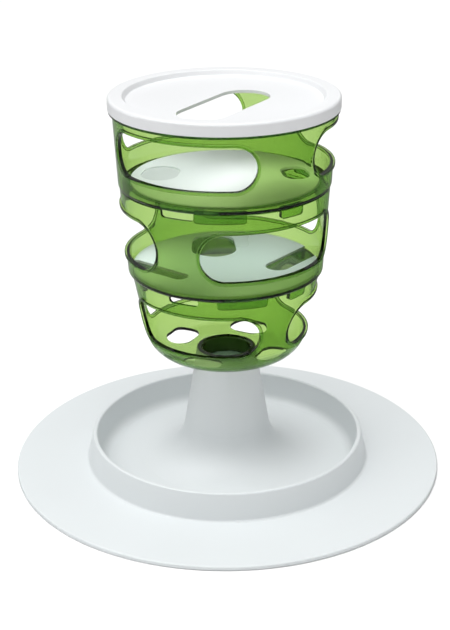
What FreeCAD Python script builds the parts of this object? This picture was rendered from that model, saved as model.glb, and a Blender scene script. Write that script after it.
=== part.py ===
"""Cat food tree: a wide catching tray with a hollow column, and a tower of three
see-through tiers on top of it, each with side openings that a paw goes through.

Two turning discs decide how easily dry food drops from tier to tier, and a lid
with a filling slot closes the tower.

Millimetres, +Z up.  The origin is on the floor under the middle of the tray.
Angles are in degrees about Z, from the front (-Y) towards the right (+X).
"""
import FreeCAD, Part
import math
import os

Vector = FreeCAD.Vector

# Tray
FLANGE_RADIUS = 175.0
FLANGE_RISE = 1.8
FLANGE_LIP = 0.6
FLANGE_EDGE_ROUND = 1.2
TRAY_WALL = 2.4
TRAY_LIFT = 0.6
RING_RADIUS = 107.9
RING_HEIGHT = 27.6
RING_TOP_FLAT = 0.4
RING_TOP_ROUND = 1.5
RING_INNER_DRAFT = 3.3
RING_OUTER_DRAFT = 4.8
RING_FOOT_ROUND = 2.0
TRAY_FLOOR_GAP = 1.0
TRAY_FLOOR_RISE = 1.2
TRAY_CORNER_ROUND = 7.0

# Column, with the seat that the bowl's plug turns in
COLUMN_HEIGHT = 100.0
COLUMN_SPREAD = 16.0
COLUMN_FLARE = 36.0
COLUMN_RIM_WIDTH = 3.0
COLUMN_TOP_ROUND = 0.8
PLUG_CLEARANCE = 0.08

# Non-slip feet, let into bosses under the flange
FOOT_COUNT = 6
FOOT_RADIUS = 8.0
FOOT_INSET = 27.0
FOOT_SET_IN = 1.0
FOOT_EDGE_ROUND = 0.4
FOOT_BOSS_MARGIN = 1.2

# Walls of the tower
TOWER_WALL = 2.4
RIM_ROUND = 0.7
TIER_CORNER = 2.4

# Bowl, the lowest tier
BOWL_HEIGHT = 70.5
BOWL_TOP_RADIUS = 74.6
BOWL_FOOT_RADIUS = 60.8
BOWL_CORNER = 22.0
PLUG_RADIUS = 20.8
PLUG_LENGTH = 14.0
PLUG_ROUND = 2.0
PLUG_NECK_ROUND = 0.8
BOWL_DROP_COUNT = 4

# Middle and top tier: how far each foot stands out past the rim below it
MIDDLE_HEIGHT = 70.5
MIDDLE_OVERHANG = 2.5
MIDDLE_TOP_RADIUS = 81.8
TOP_HEIGHT = 67.6
TOP_OVERHANG = 0.9
TOP_TOP_RADIUS = 86.1

# Side openings: round-ended, with a raised lip; rise is from the tier's foot to
# the middle of the opening
OPENING_COUNT = 3
LIP_WIDTH = 2.6
LIP_PROUD = 1.5
LIP_ROUND = 0.6
BOWL_OPENING = {"angle": -27.0, "span": 98.0, "rise": 37.2, "height": 33.6}
MIDDLE_OPENING = {"angle": 33.0, "span": 93.6, "rise": 35.8, "height": 38.2}
TOP_OPENING = {"angle": -27.0, "span": 86.0, "rise": 35.0, "height": 33.6}

# Notches in the rim that a tier stands on, and the tongues that centre the tier
NOTCH_COUNT = 3
NOTCH_ANGLE = -26.0
NOTCH_SPAN = 19.0
NOTCH_DEPTH = 5.6
NOTCH_ROUND = 2.6
TONGUE_COUNT = 3
TONGUE_LENGTH = 7.8
TONGUE_THICKNESS = 3.2
TONGUE_ROUND = 2.4
TONGUE_CLEARANCE = 0.4
MIDDLE_TONGUES = [{"angle": 10.4, "span": 31.5}, {"angle": 50.0, "span": 15.0}]
TOP_TONGUES = [{"angle": -2.7, "span": 28.4}, {"angle": 38.8, "span": 15.0}]

# Turning discs: loose in the middle tier, closely held by a ridge in the top one
DISC_PLAY = 1.3
DISC_CLEARANCE = 0.5
DISC_THICKNESS = 2.0
DISC_EDGE_ROUND = 0.8
RIDGE_WIDTH = 1.6
RIDGE_HEIGHT = 1.2
DIMPLE_DEPTH = 1.1

# Drop holes: angle, circle that the middle lies on, size along the radius, size
# across it, and how far the hole is turned about its own middle
BOWL_DROP = {"angle": 62.4, "circle": 40.4, "along": 22.0, "across": 32.0, "turn": 0.0}
MIDDLE_DISC_DROPS = [
    {"angle": -166.0, "circle": 39.0, "along": 54.0, "across": 35.0, "turn": -9.0},
    {"angle": 99.6, "circle": 58.6, "along": 73.0, "across": 19.5, "turn": 42.0},
    {"angle": -73.3, "circle": 56.1, "along": 60.0, "across": 13.5, "turn": -55.0},
]
MIDDLE_FLOOR_DROP = {"angle": 12.0, "circle": 55.0, "along": 20.0, "across": 32.0, "turn": 0.0}
TOP_DISC_DROPS = [
    {"angle": 99.0, "circle": 56.0, "along": 22.0, "across": 34.0, "turn": 0.0},
]
TOP_FLOOR_DROP = {"angle": 97.0, "circle": 60.5, "along": 23.0, "across": 50.0, "turn": 0.0}
FLOOR_DROP_COUNT = 3
TOP_DIMPLE = {"angle": -101.0, "circle": 51.0, "along": 29.0, "across": 38.0, "turn": 0.0}

# Lid
LID_WALL = 2.4
LID_CLEARANCE = 0.4
LID_SKIRT_DEPTH = 7.4
LID_EDGE_ROUND = 2.2
LID_SKIRT_ROUND = 0.6
RECESS_DEPTH = 3.9
RECESS_EDGE_WIDTH = 11.4
RECESS_DRAFT = 2.1
RECESS_ROUND = 1.2
GUIDE_RING_DEPTH = 5.6
SLOT_LENGTH = 98.0
SLOT_WIDTH = 39.7
SLOT_ANGLE = 148.1
SLOT_OFFSET = 19.3

# Heights that the pieces meet at, going up
FOOT_TOP = TRAY_LIFT + FOOT_SET_IN
BOWL_TOP = COLUMN_HEIGHT + BOWL_HEIGHT
MIDDLE_TOP = BOWL_TOP + MIDDLE_HEIGHT
TOP_TOP = MIDDLE_TOP + TOP_HEIGHT

# Outer wall of each tier, as the (radius, height) of its foot and of its top
BOWL_WALL = ((BOWL_FOOT_RADIUS, COLUMN_HEIGHT), (BOWL_TOP_RADIUS, BOWL_TOP))
MIDDLE_FOOT_RADIUS = BOWL_TOP_RADIUS + MIDDLE_OVERHANG
MIDDLE_WALL = ((MIDDLE_FOOT_RADIUS, BOWL_TOP), (MIDDLE_TOP_RADIUS, MIDDLE_TOP))
TOP_FOOT_RADIUS = MIDDLE_TOP_RADIUS + TOP_OVERHANG
TOP_WALL = ((TOP_FOOT_RADIUS, MIDDLE_TOP), (TOP_TOP_RADIUS, TOP_TOP))
DISC_RADIUS = MIDDLE_FOOT_RADIUS - TOWER_WALL - DISC_PLAY

# How far a tool runs past the faces that it cuts, how deep a raised feature is
# rooted in its wall, and how close an edge lies to the face that it belongs to
OVERRUN = 5.0
ROOT = 1.0
NEAR = 0.05

# Shares of a wall's radius between which a tool goes through the wall
TOOL_START = 0.72
TOOL_END = 1.3


def unit(vector):
    """A copy of the vector, one long."""
    return vector.multiply(1.0 / vector.Length)


def rounded_edges(corners):
    """Closed run of lines and tangent arcs through (radius, height, rounding)."""
    points = [Vector(radius, 0, height) for radius, height, _ in corners]
    count = len(points)
    joints = []
    for index, (_, _, rounding) in enumerate(corners):
        point = points[index]
        if rounding <= 0:
            joints.append((point, None, point))
            continue
        back = unit(points[index - 1] - point)
        ahead = unit(points[(index + 1) % count] - point)
        half = back.getAngle(ahead) / 2
        bisector = unit(back + ahead)
        reach = rounding / math.tan(half)
        deep = rounding / math.sin(half) - rounding
        joints.append((point + back * reach, point + bisector * deep, point + ahead * reach))
    edges = []
    for index, (entry, middle, leave) in enumerate(joints):
        if middle is not None:
            edges.append(Part.Arc(entry, middle, leave).toShape())
        following = joints[(index + 1) % count][0]
        if (following - leave).Length > 1e-6:
            edges.append(Part.LineSegment(leave, following).toShape())
    return edges


def lathe(corners):
    """Solid turned about Z from a closed run of (radius, height, rounding)."""
    face = Part.Face(Part.Wire(rounded_edges(corners)))
    return face.revolve(Vector(0, 0, 0), Vector(0, 0, 1), 360)


def inset(skin, wall):
    """The run that lies one wall to the right of an open run of corners."""
    points = [Vector(radius, 0, height) for radius, height, _ in skin]
    headings = [unit(end - start) for start, end in zip(points, points[1:])]
    sides = [Vector(heading.z, 0, -heading.x) for heading in headings]
    result = []
    for index, (radius, height, rounding) in enumerate(skin):
        if 0 < index < len(skin) - 1:
            before = sides[index - 1]
            after = sides[index]
            moved = points[index] + (before + after) * (wall / (1 + before.dot(after)))
            turns_right = headings[index - 1].cross(headings[index]).y > 0
            change = -wall if turns_right else wall
            rounding = max(rounding + change, 0) if rounding > 0 else 0
        else:
            side = sides[0] if index == 0 else sides[-1]
            heading = headings[0] if index == 0 else headings[-1]
            moved = points[index] + side * wall
            if abs(heading.z) > abs(heading.x):
                moved = moved + heading * ((height - moved.z) / heading.z)
            else:
                moved = moved + heading * ((radius - moved.x) / heading.x)
            rounding = 0
        result.append((moved.x, moved.z, rounding))
    return result


def moulded(skin, wall, rim_round=0.0):
    """Thin moulding turned about Z: its outer skin and one wall to the right."""
    inner = inset(skin, wall)
    start = (skin[0][0], skin[0][1], rim_round)
    inner_start = (inner[0][0], inner[0][1], rim_round)
    return lathe([start] + skin[1:] + inner[:0:-1] + [inner_start])


def turned(shape, angle):
    """A copy turned about Z."""
    copy = shape.copy()
    copy.rotate(Vector(0, 0, 0), Vector(0, 0, 1), angle)
    return copy


def sector(inner, outer, low, high, span):
    """Block between two radii and two heights, centred on the front."""
    corners = [(inner, low), (outer, low), (outer, high), (inner, high)]
    points = [Vector(radius, 0, height) for radius, height in corners]
    face = Part.Face(Part.makePolygon(points + points[:1]))
    block = face.revolve(Vector(0, 0, 0), Vector(0, 0, 1), span)
    return turned(block, -90 - span / 2)


def radial_rod(radius, inner, outer, angle, height):
    """Rod that lies along a radius of the tower."""
    heading = Vector(math.sin(math.radians(angle)), -math.cos(math.radians(angle)), 0)
    start = heading * inner + Vector(0, 0, height)
    return Part.makeCylinder(radius, outer - inner, start, heading)


def opening_tool(opening, wall, grow=0.0):
    """Round-ended slot wrapped about a tier's wall, grown on all sides by grow."""
    middle = wall[0][1] + opening["rise"]
    wall_radius = radius_at(wall, middle)
    round_radius = opening["height"] / 2
    end_span = math.degrees(round_radius / wall_radius)
    straight = opening["span"] - 2 * end_span
    half = round_radius + grow
    inner = wall_radius * TOOL_START
    outer = wall_radius * TOOL_END
    tool = sector(inner, outer, middle - half, middle + half, straight)
    for side in (-1, 1):
        tool = tool.fuse(radial_rod(half, inner, outer, side * straight / 2, middle))
    return turned(tool, opening["angle"])


def repeat(shape, count):
    """Copies of a shape spread evenly about Z."""
    return [turned(shape, index * 360.0 / count) for index in range(count)]


def slope(foot, top):
    """Change of radius with height between two (radius, height) ends."""
    return (top[0] - foot[0]) / (top[1] - foot[1])


def radius_at(wall, height):
    """Radius of a straight wall's outer face at a height."""
    foot, top = wall
    return foot[0] + slope(foot, top) * (height - foot[1])


def inner_radius_at(wall, height):
    """Radius of a tier wall's inner face at a height."""
    return radius_at(wall, height) - TOWER_WALL * math.hypot(1, slope(*wall))


def with_openings(shell, opening, wall):
    """Cuts the side openings into a tier and raises a lip round each."""
    middle = wall[0][1] + opening["rise"]
    reach = opening["height"] / 2 + LIP_WIDTH + OVERRUN
    low = middle - reach
    high = middle + reach
    band = lathe(
        [
            (radius_at(wall, low) - ROOT, low, 0),
            (radius_at(wall, low) + LIP_PROUD, low, 0),
            (radius_at(wall, high) + LIP_PROUD, high, 0),
            (radius_at(wall, high) - ROOT, high, 0),
        ]
    )
    lip = band.common(opening_tool(opening, wall, LIP_WIDTH))
    hole = opening_tool(opening, wall)
    tier = shell.fuse(repeat(lip, OPENING_COUNT)).cut(repeat(hole, OPENING_COUNT))
    edges = []
    for edge in tier.Edges:
        point = edge.valueAt((edge.FirstParameter + edge.LastParameter) / 2)
        face_radius = radius_at(wall, point.z) + LIP_PROUD
        if abs(math.hypot(point.x, point.y) - face_radius) < NEAR and low < point.z < high:
            edges.append(edge)
    return tier.makeFillet(LIP_ROUND, edges)


def tab_tool(wall_radius, low, high, span, rounding):
    """Block at the front with round lower corners, as deep as a wall's tools."""
    inner = wall_radius * TOOL_START
    outer = wall_radius * TOOL_END
    inside = span - 2 * math.degrees(rounding / wall_radius)
    tool = sector(inner, outer, low + rounding, high, span)
    tool = tool.fuse(sector(inner, outer, low, high, inside))
    for side in (-1, 1):
        rod = radial_rod(rounding, inner, outer, side * inside / 2, low + rounding)
        tool = tool.fuse(rod)
    return tool


def with_notches(tier, wall):
    """Cuts the notches into a tier's rim."""
    radius, height = wall[1]
    tool = tab_tool(radius, height - NOTCH_DEPTH, height + OVERRUN, NOTCH_SPAN, NOTCH_ROUND)
    return tier.cut(repeat(turned(tool, NOTCH_ANGLE), NOTCH_COUNT))


def tongue(shape, rim_wall):
    """Tongue that hangs from a tier's floor inside the wall of the tier below."""
    floor_height = rim_wall[1][1]
    low = floor_height - TONGUE_LENGTH
    high = floor_height + ROOT
    low_outer = inner_radius_at(rim_wall, low) - TONGUE_CLEARANCE
    high_outer = inner_radius_at(rim_wall, high) - TONGUE_CLEARANCE
    band = lathe(
        [
            (low_outer - TONGUE_THICKNESS, low, 0),
            (low_outer, low, 0),
            (high_outer, high, 0),
            (high_outer - TONGUE_THICKNESS, high, 0),
        ]
    )
    tool = tab_tool(low_outer, low, high, shape["span"], TONGUE_ROUND)
    return turned(band.common(tool), shape["angle"])


def oval(length, width, low, high):
    """Round-ended prism along X, or a rounded one along Y if that is longer."""
    swap = width > length
    long_side = max(length, width)
    short_side = min(length, width)
    radius = short_side / 2
    half = long_side / 2 - radius
    edges = [
        Part.LineSegment(Vector(-half, -radius, low), Vector(half, -radius, low)).toShape(),
        Part.Arc(
            Vector(half, -radius, low), Vector(half + radius, 0, low), Vector(half, radius, low)
        ).toShape(),
        Part.LineSegment(Vector(half, radius, low), Vector(-half, radius, low)).toShape(),
        Part.Arc(
            Vector(-half, radius, low), Vector(-half - radius, 0, low), Vector(-half, -radius, low)
        ).toShape(),
    ]
    prism = Part.Face(Part.Wire(edges)).extrude(Vector(0, 0, high - low))
    return turned(prism, 90) if swap else prism


def drop_tool(drop, low, high):
    """Tool for a drop hole, between two heights."""
    prism = turned(oval(drop["along"], drop["across"], low, high), drop["turn"])
    prism.translate(Vector(drop["circle"], 0, 0))
    return turned(prism, drop["angle"] - 90)


def base_skin(with_rim):
    """Upper side of the tray from the column's top to the flange's edge."""
    column_radius = PLUG_RADIUS + COLUMN_RIM_WIDTH
    floor = (RING_RADIUS - RING_INNER_DRAFT, TRAY_WALL + TRAY_FLOOR_GAP)
    inner_top = (RING_RADIUS, RING_HEIGHT)
    outer_top = (RING_RADIUS + RING_TOP_FLAT + 2 * RING_TOP_ROUND, RING_HEIGHT)
    edge_top = TRAY_LIFT + FLANGE_LIP + TRAY_WALL
    ring_foot = (outer_top[0] + RING_OUTER_DRAFT, edge_top + FLANGE_RISE)
    if with_rim:
        rim = [inner_top + (RING_TOP_ROUND,), outer_top + (RING_TOP_ROUND,)]
    else:
        inner_slope = slope(floor, inner_top)
        rise = (outer_top[0] - inner_top[0]) / (inner_slope - slope(ring_foot, outer_top))
        rim = [(inner_top[0] + rise * inner_slope, inner_top[1] + rise, 0)]
    return (
        [
            (column_radius, COLUMN_HEIGHT, 0),
            (column_radius + COLUMN_SPREAD, floor[1] + TRAY_FLOOR_RISE, COLUMN_FLARE),
            floor + (TRAY_CORNER_ROUND,),
        ]
        + rim
        + [
            ring_foot + (RING_FOOT_ROUND,),
            (FLANGE_RADIUS, edge_top, FLANGE_EDGE_ROUND),
            (FLANGE_RADIUS, TRAY_LIFT, 0),
        ]
    )


def make_base_tray():
    """Tray, ring wall, flange and hollow column in one moulding."""
    skin = base_skin(True)
    under = inset(base_skin(False), TRAY_WALL)
    seat_low = COLUMN_HEIGHT - PLUG_LENGTH - TRAY_WALL
    seat_radius = PLUG_RADIUS + PLUG_CLEARANCE
    column_inside = radius_at((under[1][:2], under[0][:2]), seat_low)
    seat = [
        (column_inside, seat_low, 0),
        (seat_radius, seat_low, 0),
        (seat_radius, COLUMN_HEIGHT, COLUMN_TOP_ROUND),
    ]
    top = (skin[0][0], COLUMN_HEIGHT, COLUMN_TOP_ROUND)
    tray = lathe([top] + skin[1:] + under[:0:-1] + seat)
    ring_foot, flange_edge = skin[-3], skin[-2]
    flange = lathe(
        [
            (ring_foot[0], 0, 0),
            (ring_foot[0], ring_foot[1] - ROOT, 0),
            (flange_edge[0] - TRAY_WALL, flange_edge[1] - ROOT, 0),
            (flange_edge[0] - TRAY_WALL, 0, 0),
        ]
    )
    boss = Part.makeCylinder(FOOT_RADIUS + FOOT_BOSS_MARGIN, ring_foot[1])
    boss.translate(Vector(0, FOOT_INSET - FLANGE_RADIUS, FOOT_TOP))
    return tray.fuse(repeat(boss.common(flange), FOOT_COUNT))


def make_non_slip_feet():
    """Rubber pads on the bosses under the flange, by name."""
    pad = lathe(
        [
            (0, 0, 0),
            (FOOT_RADIUS, 0, FOOT_EDGE_ROUND),
            (FOOT_RADIUS, FOOT_TOP, 0),
            (0, FOOT_TOP, 0),
        ]
    )
    pad.translate(Vector(0, FOOT_INSET - FLANGE_RADIUS, 0))
    pads = repeat(pad, FOOT_COUNT)
    return {"non_slip_foot_%d" % (index + 1): pad for index, pad in enumerate(pads)}


def make_bowl_tier():
    """Lowest tier: rounded bowl with drop holes and a hollow plug."""
    foot, top = BOWL_WALL
    skin = [
        top + (0,),
        foot + (BOWL_CORNER,),
        (PLUG_RADIUS, COLUMN_HEIGHT, PLUG_NECK_ROUND),
        (PLUG_RADIUS, COLUMN_HEIGHT - PLUG_LENGTH, PLUG_ROUND),
        (0, COLUMN_HEIGHT - PLUG_LENGTH, 0),
    ]
    bowl = with_openings(moulded(skin, TOWER_WALL, RIM_ROUND), BOWL_OPENING, BOWL_WALL)
    tool = drop_tool(BOWL_DROP, COLUMN_HEIGHT - OVERRUN, COLUMN_HEIGHT + BOWL_CORNER / 2)
    bowl = bowl.cut(repeat(tool, BOWL_DROP_COUNT))
    return with_notches(bowl, BOWL_WALL)


def make_tier(wall, opening, drop, rim_wall, tongues):
    """Upper tier: drafted wall, floor with drop holes, tongues under the floor."""
    foot, top = wall
    skin = [top + (0,), foot + (TIER_CORNER,), (0, foot[1], 0)]
    tier = with_openings(moulded(skin, TOWER_WALL, RIM_ROUND), opening, wall)
    for shape in tongues:
        tier = tier.fuse(repeat(tongue(shape, rim_wall), TONGUE_COUNT))
    low = foot[1] - OVERRUN
    high = foot[1] + TOWER_WALL + OVERRUN
    return tier.cut(repeat(drop_tool(drop, low, high), FLOOR_DROP_COUNT))


def make_middle_tier():
    """Middle tier, which stands on the bowl's rim."""
    tier = make_tier(MIDDLE_WALL, MIDDLE_OPENING, MIDDLE_FLOOR_DROP, BOWL_WALL, MIDDLE_TONGUES)
    return with_notches(tier, MIDDLE_WALL)


def make_top_tier():
    """Top tier, which stands on the middle tier's rim and carries the lid."""
    tier = make_tier(TOP_WALL, TOP_OPENING, TOP_FLOOR_DROP, MIDDLE_WALL, TOP_TONGUES)
    floor_top = MIDDLE_TOP + TOWER_WALL
    low = floor_top - ROOT
    high = floor_top + RIDGE_HEIGHT
    inner = DISC_RADIUS + DISC_CLEARANCE
    outer = inner + RIDGE_WIDTH
    ridge = lathe([(inner, low, 0), (outer, low, 0), (outer, high, 0), (inner, high, 0)])
    return tier.fuse(ridge)


def make_disc(floor_height, drops):
    """Flat disc that lies on a tier's floor and turns there."""
    low = floor_height + TOWER_WALL
    high = low + DISC_THICKNESS
    disc = lathe(
        [
            (0, low, 0),
            (DISC_RADIUS, low, 0),
            (DISC_RADIUS, high, DISC_EDGE_ROUND),
            (0, high, 0),
        ]
    )
    return disc.cut([drop_tool(drop, low - OVERRUN, high + OVERRUN) for drop in drops])


def make_middle_disc():
    """Disc of the middle tier, with a drop hole and two slots that are open to its edge."""
    return make_disc(BOWL_TOP, MIDDLE_DISC_DROPS)


def make_top_disc():
    """Disc of the top tier, with a drop hole and a finger dimple."""
    high = MIDDLE_TOP + TOWER_WALL + DISC_THICKNESS
    dimple = drop_tool(TOP_DIMPLE, high - DIMPLE_DEPTH, high + OVERRUN)
    return make_disc(MIDDLE_TOP, TOP_DISC_DROPS).cut(dimple)


def make_lid():
    """Lid with a sunk top, a raised edge, a guide ring and a filling slot."""
    high = TOP_TOP + LID_WALL
    low = TOP_TOP - LID_SKIRT_DEPTH
    floor_top = high - RECESS_DEPTH
    floor_low = floor_top - LID_WALL
    skirt_inner = TOP_TOP_RADIUS + LID_CLEARANCE
    skirt_outer = skirt_inner + LID_WALL
    recess_radius = skirt_outer - RECESS_EDGE_WIDTH
    floor_radius = recess_radius - RECESS_DRAFT
    ring_outer = inner_radius_at(TOP_WALL, TOP_TOP) - LID_CLEARANCE
    ring_inner = ring_outer - LID_WALL
    ring_low = TOP_TOP - GUIDE_RING_DEPTH
    lid = lathe(
        [
            (0, floor_top, 0),
            (floor_radius, floor_top, RECESS_ROUND),
            (recess_radius, high, RECESS_ROUND),
            (skirt_outer, high, LID_EDGE_ROUND),
            (skirt_outer, low, LID_SKIRT_ROUND),
            (skirt_inner, low, 0),
            (skirt_inner, TOP_TOP, 0),
            (ring_outer, TOP_TOP, 0),
            (ring_outer, ring_low, 0),
            (ring_inner, ring_low, 0),
            (ring_inner, TOP_TOP, 0),
            (recess_radius, TOP_TOP, 0),
            (floor_radius, floor_low, 0),
            (0, floor_low, 0),
        ]
    )
    slot = oval(SLOT_LENGTH, SLOT_WIDTH, low - OVERRUN, high + OVERRUN)
    slot = turned(slot, SLOT_ANGLE - 90)
    slot.translate(Vector(0, -SLOT_OFFSET, 0))
    return lid.cut(slot)


def main():
    """Builds every sub-part and writes it to parts/."""
    pieces = {
        "base_tray": make_base_tray(),
        "bowl_tier": make_bowl_tier(),
        "middle_tier": make_middle_tier(),
        "middle_disc": make_middle_disc(),
        "top_tier": make_top_tier(),
        "top_disc": make_top_disc(),
        "lid": make_lid(),
    }
    pieces.update(make_non_slip_feet())
    os.makedirs("parts", exist_ok=True)
    for name, shape in pieces.items():
        if len(shape.Solids) != 1 or not shape.isValid():
            raise ValueError(name + " is not one valid solid")
        shape.exportStep("parts/" + name + ".step")
        print(name, round(shape.Volume / 1000.0, 2), "cm3")


main()
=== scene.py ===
"""Looks of the cat food tree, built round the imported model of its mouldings.

Every length is in metres, in the model's own frame: +Z up, the floor at z = 0, the
tower on the Z axis and the photographed side towards -Y.
"""
import logging
import math
from collections.abc import Iterable
from dataclasses import dataclass
from enum import Enum, IntEnum

import bpy
from mathutils import Matrix, Vector


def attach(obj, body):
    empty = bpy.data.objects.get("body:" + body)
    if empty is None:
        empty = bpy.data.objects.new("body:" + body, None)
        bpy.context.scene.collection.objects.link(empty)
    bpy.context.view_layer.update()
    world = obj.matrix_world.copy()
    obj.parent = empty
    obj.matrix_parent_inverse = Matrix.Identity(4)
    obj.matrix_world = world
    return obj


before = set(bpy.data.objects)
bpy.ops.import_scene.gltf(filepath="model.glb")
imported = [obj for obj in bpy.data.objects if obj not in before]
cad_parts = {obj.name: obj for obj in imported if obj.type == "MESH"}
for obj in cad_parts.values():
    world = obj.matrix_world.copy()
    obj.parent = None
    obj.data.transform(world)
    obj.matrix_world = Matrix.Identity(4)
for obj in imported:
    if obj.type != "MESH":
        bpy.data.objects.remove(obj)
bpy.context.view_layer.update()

LOG = logging.getLogger("cat_food_tree")

Colour = tuple[float, float, float]
Place = tuple[float, float, float]
Socket = bpy.types.NodeSocket

WHITE: Colour = (1.0, 1.0, 1.0)

# Noise seldom leaves this middle part of 0 to 1
NOISE_LOW = 0.3
NOISE_HIGH = 0.7


class Slot(Enum):
    """Material slots of the record that the finishes belong to."""

    TRAY = "tray_plastic"
    CLEAR_GREEN = "clear_green_plastic"
    DISC = "disc_plastic"
    LID = "lid_plastic"
    RUBBER = "foot_rubber"


class MixSocket(IntEnum):
    """Numbers of the sockets of a Mix node that mixes colours; the result is an output."""

    SHARE = 0
    START = 6
    END = 7
    RESULT = 2


def shaded(colour: Colour, share: float) -> Colour:
    """The colour with every channel times share."""
    return tuple(channel * share for channel in colour)


def opaque(colour: Colour) -> tuple[float, float, float, float]:
    """The colour with a full alpha channel, as Blender's sockets take it."""
    return (*colour, 1.0)


def add_object(name: str, data: bpy.types.ID) -> bpy.types.Object:
    """Adds an object to the scene.

    Args:
        name: name of the object.
        data: its mesh, light or camera.

    Returns:
        The new object.
    """
    made = bpy.data.objects.new(name, data)
    bpy.context.scene.collection.objects.link(made)
    return made


class NodeSketch:
    """A node tree, with short ways to add nodes and link them."""

    def __init__(self, tree: bpy.types.NodeTree) -> None:
        """Goes on from the tree as it is."""
        self.tree = tree

    def node(self, kind: str, **inputs: object) -> bpy.types.Node:
        """Adds a node.

        Args:
            kind: Blender's name of the node type, without its ShaderNode prefix.
            **inputs: values of input sockets, by their names with _ for a space.

        Returns:
            The new node.
        """
        made = self.tree.nodes.new("ShaderNode" + kind)
        for name, value in inputs.items():
            made.inputs[name.replace("_", " ")].default_value = value
        return made

    def link(self, start: Socket, end: Socket) -> None:
        """Links an output socket to an input socket."""
        self.tree.links.new(start, end)

    def feed(self, source: Socket | float | tuple[float, ...], end: Socket) -> None:
        """Gives an input socket its value.

        Args:
            source: a socket to link to it, or a fixed value to set on it.
            end: the input socket.
        """
        if isinstance(source, Socket):
            self.link(source, end)
        else:
            end.default_value = source

    def calculate(self, operation: str, *values: Socket | float, clamp: bool = False) -> Socket:
        """Adds a calculation.

        Args:
            operation: Blender's name of the calculation.
            *values: what it works on, in the order of its sockets.
            clamp: whether the result is kept from 0 to 1.

        Returns:
            The result's socket.
        """
        made = self.node("Math")
        made.operation = operation
        made.use_clamp = clamp
        for value, entry in zip(values, made.inputs):
            self.feed(value, entry)
        return made.outputs["Value"]

    def position(self) -> tuple[Socket, Socket, Socket]:
        """Adds the coordinates of a point on the piece.

        Returns:
            The sockets of X, Y and Z.
        """
        where = self.node("TexCoord")
        parts = self.node("SeparateXYZ")
        self.link(where.outputs["Object"], parts.inputs["Vector"])
        return parts.outputs["X"], parts.outputs["Y"], parts.outputs["Z"]

    def noise(self, scale: float, detail: float = 2.0) -> Socket:
        """Adds noise in the piece's own coordinates.

        Args:
            scale: waves of the noise in a metre.
            detail: how many finer layers it has.

        Returns:
            The noise's value socket, which runs from 0 to 1.
        """
        where = self.node("TexCoord")
        noise = self.node("TexNoise", Scale=scale, Detail=detail)
        self.link(where.outputs["Object"], noise.inputs["Vector"])
        return noise.outputs["Fac"]

    def remap(self, source: Socket, start: float, end: float, low: float, high: float) -> Socket:
        """Turns one range of values into another.

        Args:
            source: the value.
            start: where it becomes low.
            end: where it becomes high.
            low: new value at start.
            high: new value at end.

        Returns:
            The new value's socket.
        """
        stretch = self.node("MapRange", From_Min=start, From_Max=end, To_Min=low, To_Max=high)
        self.link(source, stretch.inputs["Value"])
        return stretch.outputs["Result"]

    def spread(self, source: Socket, low: float, high: float) -> Socket:
        """Stretches the middle part of a noise to run from low to high."""
        return self.remap(source, NOISE_LOW, NOISE_HIGH, low, high)

    def tint(self, source: Socket, dark: Colour, light: Colour) -> Socket:
        """Turns a 0 to 1 noise into a colour between two.

        Args:
            source: the noise.
            dark: colour at the noise's low end.
            light: colour at the noise's high end.

        Returns:
            The colour's socket.
        """
        ramp = self.node("ValToRGB")
        first, last = ramp.color_ramp.elements
        first.position = NOISE_LOW
        first.color = opaque(dark)
        last.position = NOISE_HIGH
        last.color = opaque(light)
        self.link(source, ramp.inputs["Fac"])
        return ramp.outputs["Color"]

    def mix(self, share: Socket, start: Socket | Colour, end: Socket | Colour) -> Socket:
        """Mixes two colours.

        Args:
            share: 0 for the first colour, 1 for the second.
            start: the first colour.
            end: the second colour.

        Returns:
            The mixed colour's socket.
        """
        made = self.node("Mix")
        made.data_type = "RGBA"
        self.link(share, made.inputs[MixSocket.SHARE])
        for colour, entry in ((start, MixSocket.START), (end, MixSocket.END)):
            value = colour if isinstance(colour, Socket) else opaque(colour)
            self.feed(value, made.inputs[entry])
        return made.outputs[MixSocket.RESULT]

    def bump(self, source: Socket, depth: float) -> Socket:
        """Raises a relief out of a height.

        Args:
            source: the height, from 0 to 1.
            depth: how high 1 stands, in metres.

        Returns:
            The normal's socket.
        """
        relief = self.node("Bump", Distance=depth)
        self.link(source, relief.inputs["Height"])
        return relief.outputs["Normal"]


class MaterialSketch(NodeSketch):
    """The node tree of a new material, which has only its output node at first."""

    def __init__(self, name: str) -> None:
        """Starts the material.

        Args:
            name: name of the material.
        """
        self.material = bpy.data.materials.new(name)
        self.material.use_nodes = True
        super().__init__(self.material.node_tree)
        self.tree.nodes.clear()
        self.output = self.node("OutputMaterial")

    def surfaced(self, shader: bpy.types.Node) -> bpy.types.Material:
        """Puts a shader on the material's surface.

        Args:
            shader: the shader's node.

        Returns:
            The material.
        """
        self.link(shader.outputs["BSDF"], self.output.inputs["Surface"])
        return self.material


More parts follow.
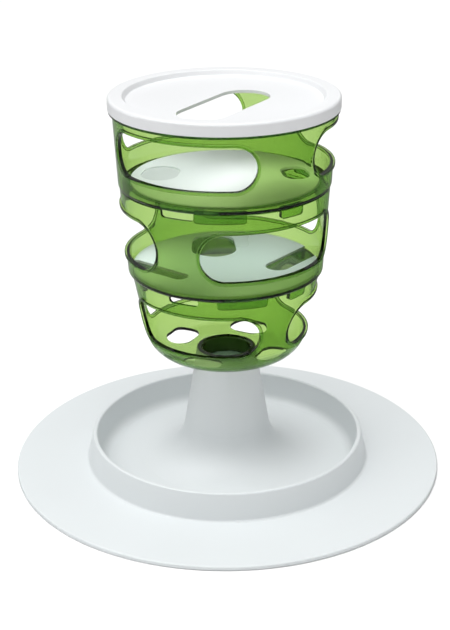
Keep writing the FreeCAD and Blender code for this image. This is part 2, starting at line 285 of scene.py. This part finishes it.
@dataclass(frozen=True)
class SatinPlastic:
    """Opaque injection-moulded plastic: satin, with a fine moulded grain."""

    name: str
    slot: Slot
    colour: Colour
    roughness: float = 0.38
    roughness_swing: float = 0.05
    mottle: float = 0.985
    mottle_scale: float = 9.0
    grain_scale: float = 2400.0
    grain_detail: float = 1.0
    grain_depth: float = 0.000012
    ior: float = 1.46
    # Height of a dimple's floor, whose colour is darkened there as painted shade
    sunk_floor: float | None = None
    sunk_margin: float = 0.0002
    dimple_painted_shade: float = 0.8

    def paint_dimple_shade(self, sketch: MaterialSketch, surface: Socket) -> Socket:
        """Paints shade on the floor of a dimple: its colour is darker there.

        Args:
            sketch: the material's node tree.
            surface: the plastic's colour elsewhere.

        Returns:
            The colour's socket.
        """
        _, _, height = sketch.position()
        sunk = sketch.calculate("COMPARE", height, self.sunk_floor, self.sunk_margin)
        return sketch.mix(sunk, surface, shaded(self.colour, self.dimple_painted_shade))

    def build(self) -> bpy.types.Material:
        """Makes the plastic.

        Returns:
            The material.
        """
        sketch = MaterialSketch(self.name)
        shader = sketch.node("BsdfPrincipled", IOR=self.ior)
        cloud = sketch.noise(self.mottle_scale)
        grain = sketch.noise(self.grain_scale, self.grain_detail)
        surface = sketch.tint(cloud, shaded(self.colour, self.mottle), self.colour)
        # Painted shade on the dimple's floor
        if self.sunk_floor is not None:
            surface = self.paint_dimple_shade(sketch, surface)
        sketch.link(surface, shader.inputs["Base Color"])
        low = self.roughness - self.roughness_swing
        high = self.roughness + self.roughness_swing
        sketch.link(sketch.spread(cloud, low, high), shader.inputs["Roughness"])
        sketch.link(sketch.bump(grain, self.grain_depth), shader.inputs["Normal"])
        return sketch.surfaced(shader)


@dataclass(frozen=True)
class ClearPlastic:
    """See-through tinted plastic, whose colour deepens with the way through it; painted shade darkens
    chosen floors.
    """

    name: str
    slot: Slot
    through_wall: Colour
    floors: tuple[float, ...] = ()
    floor_radius: float = 0.0735
    floor_margin: float = 0.0001
    # Painted shade on the floors: a grey tint, and less light let through
    floor_shade_tint: Colour = (0.42, 0.46, 0.42)
    floor_shade_clarity: float = 0.88
    wall: float = 0.0024
    roughness: float = 0.025
    roughness_swing: float = 0.012
    cloud_scale: float = 26.0
    wave_scale: float = 34.0
    wave_depth: float = 0.00006
    ior: float = 1.49

    def painted_floor_shade(self, sketch: MaterialSketch) -> Socket:
        """Finds the floors of the tiers and of the plug, which get painted shade.

        Args:
            sketch: the material's node tree.

        Returns:
            Socket that is 1 in a floor and 0 elsewhere.
        """
        across, along, height = sketch.position()
        half = self.wall / 2
        bands = [
            sketch.calculate("COMPARE", height, floor + half, half + self.floor_margin)
            for floor in self.floors
        ]
        level = bands[0]
        for band in bands[1:]:
            level = sketch.calculate("MAXIMUM", level, band)
        flat = sketch.node("CombineXYZ")
        sketch.link(across, flat.inputs["X"])
        sketch.link(along, flat.inputs["Y"])
        reach = sketch.node("VectorMath")
        reach.operation = "LENGTH"
        sketch.link(flat.outputs["Vector"], reach.inputs["Vector"])
        inside = sketch.calculate("LESS_THAN", reach.outputs["Value"], self.floor_radius)
        return sketch.calculate("MULTIPLY", level, inside)

    def absorption(self) -> tuple[float, Colour]:
        """Finds the absorption that leaves through_wall of the light after one wall.

        Returns:
            Its density and its colour.
        """
        losses = [-math.log(share) / self.wall for share in self.through_wall]
        density = max(losses)
        return density, tuple(1.0 - loss / density for loss in losses)

    def build(self) -> bpy.types.Material:
        """Makes the plastic.

        Returns:
            The material.
        """
        sketch = MaterialSketch(self.name)
        shader = sketch.node("BsdfPrincipled", IOR=self.ior)
        shader.inputs["Base Color"].default_value = opaque(WHITE)
        shader.inputs["Transmission Weight"].default_value = 1.0
        # Painted shade: the floors under the discs and in the plug are greyed and let less light
        # through, so holes over them look dark
        if self.floors:
            painted_floor_shade = self.painted_floor_shade(sketch)
            clarity = sketch.spread(painted_floor_shade, 1.0, self.floor_shade_clarity)
            sketch.link(sketch.tint(painted_floor_shade, WHITE, self.floor_shade_tint), shader.inputs["Base Color"])
            sketch.link(clarity, shader.inputs["Transmission Weight"])
        cloud = sketch.noise(self.cloud_scale)
        wave = sketch.noise(self.wave_scale)
        low = self.roughness - self.roughness_swing
        high = self.roughness + self.roughness_swing
        sketch.link(sketch.spread(cloud, low, high), shader.inputs["Roughness"])
        sketch.link(sketch.bump(wave, self.wave_depth), shader.inputs["Normal"])
        density, colour = self.absorption()
        inside = sketch.node("VolumeAbsorption", Density=density, Color=opaque(colour))
        sketch.link(inside.outputs["Volume"], sketch.output.inputs["Volume"])
        return sketch.surfaced(shader)


@dataclass(frozen=True)
class FootRubber:
    """Matt soft rubber of the pads."""

    name: str
    slot: Slot
    colour: Colour
    roughness: float = 0.8
    grain_scale: float = 3000.0
    grain_depth: float = 0.00003
    grain_shade: float = 0.85

    def build(self) -> bpy.types.Material:
        """Makes the rubber.

        Returns:
            The material.
        """
        sketch = MaterialSketch(self.name)
        shader = sketch.node("BsdfPrincipled", Roughness=self.roughness)
        grain = sketch.noise(self.grain_scale)
        surface = sketch.tint(grain, shaded(self.colour, self.grain_shade), self.colour)
        sketch.link(surface, shader.inputs["Base Color"])
        sketch.link(sketch.bump(grain, self.grain_depth), shader.inputs["Normal"])
        return sketch.surfaced(shader)


Finish = SatinPlastic | ClearPlastic | FootRubber

TRAY_WHITE = SatinPlastic("tray_white", Slot.TRAY, (0.69, 0.725, 0.735))
LID_WHITE = SatinPlastic("lid_white", Slot.LID, (0.73, 0.74, 0.75))
DISC_WHITE = SatinPlastic(
    "disc_white",
    Slot.DISC,
    (0.86, 0.90, 0.885),
    roughness=0.32,
    # Painted shade on the floor of the finger dimple
    sunk_floor=0.2443,
)
TOWER_GREEN = ClearPlastic(
    "tower_green",
    Slot.CLEAR_GREEN,
    through_wall=(0.45, 0.645, 0.22),
    # Heights of the floors that get painted shade
    floors=(0.086, 0.1705, 0.241),
)
# Far darker than the tower's green: painted shade for the dark line under the lid's edge
LEDGE_PAINTED_SHADE = ClearPlastic("ledge_painted_shade", Slot.CLEAR_GREEN, through_wall=(0.12, 0.25, 0.06))
PAD_RUBBER = FootRubber("pad_rubber", Slot.RUBBER, (0.25, 0.255, 0.26))


def dress(nodes: Iterable[str], finish: Finish) -> None:
    """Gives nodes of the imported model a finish.

    Args:
        nodes: names of the nodes.
        finish: the finish that they share.
    """
    material = finish.build()
    for name in nodes:
        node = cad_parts[name]
        node.data.materials.clear()
        node.data.materials.append(material)
        LOG.info("%s: %s", name, finish.name)


@dataclass
class Mouldings:
    """The white and see-through mouldings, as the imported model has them."""

    tray: tuple[str, ...] = ("base_tray",)
    tiers: tuple[str, ...] = ("bowl_tier", "middle_tier", "top_tier")
    discs: tuple[str, ...] = ("middle_disc", "top_disc")
    lid: tuple[str, ...] = ("lid",)

    def build(self) -> None:
        """Dresses every moulding."""
        dress(self.tray, TRAY_WHITE)
        dress(self.tiers, TOWER_GREEN)
        dress(self.discs, DISC_WHITE)
        dress(self.lid, LID_WHITE)


@dataclass
class NonSlipFeet:
    """The pads under the tray."""

    prefix: str = "non_slip_foot_"

    def build(self) -> None:
        """Dresses every pad."""
        dress([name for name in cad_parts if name.startswith(self.prefix)], PAD_RUBBER)


@dataclass
class LidLedge:
    """Ledge round the top tier, just under the edge of the lid's skirt; its plastic is far darker than
    the tier's, as painted shade under the lid.
    """

    name: str = "lid_ledge"
    body: str = "top"
    lid: str = "lid"
    wall_radius: float = 0.08555
    inset: float = 0.0006
    gap: float = 0.0001
    height: float = 0.0018
    chamfer: float = 0.0003
    segments: int = 240

    def under_lid(self) -> tuple[float, float]:
        """Finds the skirt's edge.

        Returns:
            The skirt's outer radius, and the height of its lower edge.
        """
        points = [vertex.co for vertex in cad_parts[self.lid].data.vertices]
        reach = max(point.xy.length for point in points)
        edge = min(point.z for point in points if point.xy.length > reach - self.inset)
        return reach, edge

    def profile(self) -> list[tuple[float, float]]:
        """Draws the ledge's cut.

        Returns:
            Its corners, as radii and heights.
        """
        reach, edge = self.under_lid()
        outer = reach - self.inset
        high = edge - self.gap
        low = high - self.height
        return [
            (self.wall_radius, low),
            (outer - self.chamfer, low),
            (outer, low + self.chamfer),
            (outer, high - self.chamfer),
            (outer - self.chamfer, high),
            (self.wall_radius, high),
        ]

    def ring(self) -> bpy.types.Mesh:
        """Takes the cut once round the tower.

        Returns:
            The ledge's mesh.
        """
        profile = self.profile()
        sides = len(profile)
        corners = []
        faces = []
        for step in range(self.segments):
            angle = 2 * math.pi * step / self.segments
            here = step * sides
            there = (step + 1) % self.segments * sides
            for side, (radius, height) in enumerate(profile):
                after = (side + 1) % sides
                corners.append((radius * math.cos(angle), radius * math.sin(angle), height))
                faces.append((here + side, there + side, there + after, here + after))
        mesh = bpy.data.meshes.new(self.name)
        mesh.from_pydata(corners, [], faces)
        return mesh

    def build(self) -> None:
        """Makes the ledge and lets it turn with the top tier."""
        ledge = add_object(self.name, self.ring())
        # Its dark plastic paints the shade under the lid
        ledge.data.materials.append(LEDGE_PAINTED_SHADE.build())
        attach(ledge, self.body)
        LOG.info("%s: %s", self.name, LEDGE_PAINTED_SHADE.name)


@dataclass(frozen=True)
class RoundLight:
    """Round soft light that shines straight down and isn't seen itself."""

    name: str
    place: Place
    power: float
    across: float
    colour: Colour = WHITE

    def build(self) -> None:
        """Makes the light."""
        data = bpy.data.lights.new(self.name, "AREA")
        data.shape = "DISK"
        data.size = self.across
        data.energy = self.power
        data.color = self.colour
        light = add_object(self.name, data)
        light.location = self.place
        light.visible_camera = False
        light.visible_glossy = False
        light.visible_transmission = False
        LOG.info("light %s", self.name)


# One light over the lid, and small ones in the tiers and over the tray, for the photograph's paleness
LIGHTS = (
    RoundLight("overhead", place=(0.0, -0.1, 0.95), power=1.5, across=0.5),
    RoundLight(
        "top_tier_light",
        place=(-0.055, 0.012, 0.302),
        power=0.036,
        across=0.08,
        colour=(0.95, 1.0, 1.0),
    ),
    RoundLight(
        "top_right_light",
        place=(0.066, 0.004, 0.28),
        power=0.0095,
        across=0.02,
        colour=(0.95, 1.0, 1.0),
    ),
    RoundLight(
        "middle_tier_light",
        place=(0.012, -0.002, 0.237),
        power=0.038,
        across=0.1,
        colour=(0.78, 1.0, 0.86),
    ),
    RoundLight(
        "middle_left_light",
        place=(-0.064, 0.002, 0.215),
        power=0.009,
        across=0.03,
        colour=(0.85, 1.0, 0.95),
    ),
    RoundLight(
        "plug_light",
        place=(0.0, 0.0, 0.112),
        power=0.02,
        across=0.03,
        colour=(0.6, 1.0, 0.6),
    ),
    RoundLight("tray_light", place=(0.05, 0.0, 0.096), power=0.052, across=0.26),
)


@dataclass
class Studio:
    """Pale floor, soft light and the photograph's camera."""

    floor_side: float = 60.0
    floor_colour: Colour = (0.9, 0.9, 0.9)
    floor_roughness: float = 0.9
    # Floor colours in reflections, left and right: painted reflection
    floor_reflection_shades: tuple[float, float] = (0.35, 0.18)
    floor_reflection_reach: float = 0.25
    fill: float = 0.27
    key: float = 3.75
    key_focus: float = 6.0
    key_heading: tuple[float, float, float] = (-0.24, -0.14, 1.0)
    camera_distance: float = 1.04374
    camera_height: float = 0.57143
    pitch: float = math.radians(22.991)
    yaw: float = math.radians(-0.048)
    roll: float = math.radians(-0.518)
    focal_pixels: float = 1404.29
    image_height: float = 630.0
    sensor: float = 36.0

    def build(self) -> None:
        """Makes the floor, the lights and the camera."""
        self.lay_floor()
        self.fill_sky()
        for light in LIGHTS:
            light.build()
        self.set_camera()

    def lay_floor(self) -> None:
        """Lays a wide floor with a matt surface."""
        half = self.floor_side / 2
        mesh = bpy.data.meshes.new("floor")
        corners = [(-half, -half, 0.0), (half, -half, 0.0), (half, half, 0.0), (-half, half, 0.0)]
        mesh.from_pydata(corners, [], [(0, 1, 2, 3)])
        floor = add_object("floor", mesh)
        sketch = MaterialSketch("floor_paper")
        shader = sketch.node("BsdfPrincipled", Roughness=self.floor_roughness, Specular_IOR_Level=0.0)
        sketch.link(self.reflection_shaded(sketch), shader.inputs["Base Color"])
        mesh.materials.append(sketch.surfaced(shader))

    def reflection_shaded(self, sketch: MaterialSketch) -> Socket:
        """Paints the floor darker in reflections, a painted reflection that stands in for dark cards
        beside the set, most on the right.

        Args:
            sketch: the floor's node tree.

        Returns:
            The colour's socket.
        """
        across, _, _ = sketch.position()
        reach = self.floor_reflection_reach
        reflected_shade = sketch.remap(across, -reach, reach, *self.floor_reflection_shades)
        path = sketch.node("LightPath")
        glossy = path.outputs["Is Glossy Ray"]
        through = path.outputs["Is Transmission Ray"]
        mirrored = sketch.calculate("SUBTRACT", glossy, through, clamp=True)
        return sketch.mix(mirrored, self.floor_colour, reflected_shade)

    def fill_sky(self) -> None:
        """Fills the surroundings with soft light, strongest from high up; the camera sees them white."""
        world = bpy.data.worlds.new("studio_air")
        bpy.context.scene.world = world
        world.use_nodes = True
        sketch = NodeSketch(world.node_tree)
        where = sketch.node("TexCoord")
        facing = sketch.node("VectorMath")
        facing.operation = "DOT_PRODUCT"
        facing.inputs[1].default_value = Vector(self.key_heading).normalized()
        sketch.link(where.outputs["Generated"], facing.inputs[0])
        upper = sketch.calculate("MAXIMUM", facing.outputs["Value"], 0.0)
        lobe = sketch.calculate("POWER", upper, self.key_focus)
        light = sketch.remap(lobe, 0.0, 1.0, self.fill, self.fill + self.key)
        path = sketch.node("LightPath")
        backdrop = sketch.calculate("MAXIMUM", light, path.outputs["Is Camera Ray"])
        background = world.node_tree.nodes["Background"]
        background.inputs["Color"].default_value = opaque(WHITE)
        sketch.link(backdrop, background.inputs["Strength"])

    def set_camera(self) -> None:
        """Sets the camera where the photograph was taken from."""
        data = bpy.data.cameras.new("camera")
        data.sensor_width = self.sensor
        data.lens = self.focal_pixels / self.image_height * self.sensor
        camera = add_object("camera", data)
        turn = (
            Matrix.Rotation(-self.yaw, 4, "Z")
            @ Matrix.Rotation(math.pi / 2 - self.pitch, 4, "X")
            @ Matrix.Rotation(self.roll, 4, "Z")
        )
        place = Matrix.Translation((0.0, -self.camera_distance, self.camera_height))
        camera.matrix_world = place @ turn
        bpy.context.scene.camera = camera
        bpy.context.scene.view_settings.view_transform = "Standard"


def main() -> None:
    """Builds the whole scene in order."""
    logging.basicConfig(level=logging.INFO, format="%(name)s: %(message)s")
    Mouldings().build()
    NonSlipFeet().build()
    LidLedge().build()
    Studio().build()


if __name__ == "__main__":
    main()
